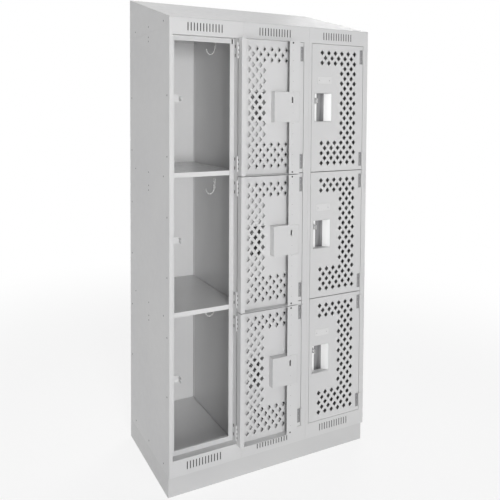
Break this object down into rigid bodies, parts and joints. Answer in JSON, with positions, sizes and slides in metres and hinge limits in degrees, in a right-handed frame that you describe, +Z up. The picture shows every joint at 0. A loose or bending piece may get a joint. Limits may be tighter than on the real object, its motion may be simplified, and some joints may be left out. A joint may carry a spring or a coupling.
{
  "type": "three-tier locker",
  "caption": "Steel locker in columns of stacked compartments, with perforated hinged doors, recessed latches, shelves, coat hooks, a plinth and a sloped hood.",
  "frame": {"origin": "middle of the bounding box's bottom, on the floor, with the left column's doors open by half a turn", "axes": "+Z up, +X to the right of someone facing the doors, +Y from the doors to the back"},
  "size_m": [0.9144, 0.4932, 1.923],
  "materials": {
    "grey_paint": "light grey powder coat, satin",
    "bare_steel": "zinc-plated steel"
  },
  "bodies": {
    "cabinet": {"plinth_front": "grey_paint", "plinth_back": "grey_paint", "plinth_end_left": "grey_paint", "plinth_end_right": "grey_paint", "side_panel_left": "grey_paint", "side_panel_right": "grey_paint", "partition_1": "grey_paint", "partition_2": "grey_paint", "hood_top": "grey_paint", "hood_back": "grey_paint", "hood_end_left": "grey_paint", "hood_end_right": "grey_paint", "front_frame_c1": "grey_paint", "back_panel_c1": "grey_paint", "roof_c1": "grey_paint", "floor_c1": "grey_paint", "shelf_c1_1": "grey_paint", "shelf_c1_2": "grey_paint", "coat_hook_c1_1": "bare_steel", "coat_hook_c1_2": "bare_steel", "coat_hook_c1_3": "bare_steel", "front_frame_c2": "grey_paint", "back_panel_c2": "grey_paint", "roof_c2": "grey_paint", "floor_c2": "grey_paint", "shelf_c2_1": "grey_paint", "shelf_c2_2": "grey_paint", "coat_hook_c2_1": "bare_steel", "coat_hook_c2_2": "bare_steel", "coat_hook_c2_3": "bare_steel", "front_frame_c3": "grey_paint", "back_panel_c3": "grey_paint", "roof_c3": "grey_paint", "floor_c3": "grey_paint", "shelf_c3_1": "grey_paint", "shelf_c3_2": "grey_paint", "coat_hook_c3_1": "bare_steel", "coat_hook_c3_2": "bare_steel", "coat_hook_c3_3": "bare_steel"},
    "door_c1_1": {"door_panel_c1_1": "grey_paint", "latch_pan_c1_1": "grey_paint"},
    "door_c1_2": {"door_panel_c1_2": "grey_paint", "latch_pan_c1_2": "grey_paint"},
    "door_c1_3": {"door_panel_c1_3": "grey_paint", "latch_pan_c1_3": "grey_paint"},
    "door_c2_1": {"door_panel_c2_1": "grey_paint", "latch_pan_c2_1": "grey_paint"},
    "door_c2_2": {"door_panel_c2_2": "grey_paint", "latch_pan_c2_2": "grey_paint"},
    "door_c2_3": {"door_panel_c2_3": "grey_paint", "latch_pan_c2_3": "grey_paint"},
    "door_c3_1": {"door_panel_c3_1": "grey_paint", "latch_pan_c3_1": "grey_paint"},
    "door_c3_2": {"door_panel_c3_2": "grey_paint", "latch_pan_c3_2": "grey_paint"},
    "door_c3_3": {"door_panel_c3_3": "grey_paint", "latch_pan_c3_3": "grey_paint"}
  },
  "joints": [
    {"name": "hinge_c1_1", "type": "hinge", "parent": "cabinet", "child": "door_c1_1", "pos_m": [-0.1783, -0.2146, 1.45878], "axis": [0, 0, 1], "range_deg": [-180, 0]},
    {"name": "hinge_c1_2", "type": "hinge", "parent": "cabinet", "child": "door_c1_2", "pos_m": [-0.1783, -0.2146, 0.93255], "axis": [0, 0, 1], "range_deg": [-180, 0]},
    {"name": "hinge_c1_3", "type": "hinge", "parent": "cabinet", "child": "door_c1_3", "pos_m": [-0.1783, -0.2146, 0.40632], "axis": [0, 0, 1], "range_deg": [-180, 0]},
    {"name": "hinge_c2_1", "type": "hinge", "parent": "cabinet", "child": "door_c2_1", "pos_m": [0.1265, -0.2146, 1.45878], "axis": [0, 0, 1], "range_deg": [0, 0.4]},
    {"name": "hinge_c2_2", "type": "hinge", "parent": "cabinet", "child": "door_c2_2", "pos_m": [0.1265, -0.2146, 0.93255], "axis": [0, 0, 1], "range_deg": [0, 0.4]},
    {"name": "hinge_c2_3", "type": "hinge", "parent": "cabinet", "child": "door_c2_3", "pos_m": [0.1265, -0.2146, 0.40632], "axis": [0, 0, 1], "range_deg": [0, 0.4]},
    {"name": "hinge_c3_1", "type": "hinge", "parent": "cabinet", "child": "door_c3_1", "pos_m": [0.4313, -0.2146, 1.45878], "axis": [0, 0, 1], "range_deg": [0, 180]},
    {"name": "hinge_c3_2", "type": "hinge", "parent": "cabinet", "child": "door_c3_2", "pos_m": [0.4313, -0.2146, 0.93255], "axis": [0, 0, 1], "range_deg": [0, 180]},
    {"name": "hinge_c3_3", "type": "hinge", "parent": "cabinet", "child": "door_c3_3", "pos_m": [0.4313, -0.2146, 0.40632], "axis": [0, 0, 1], "range_deg": [0, 180]}
  ]
}
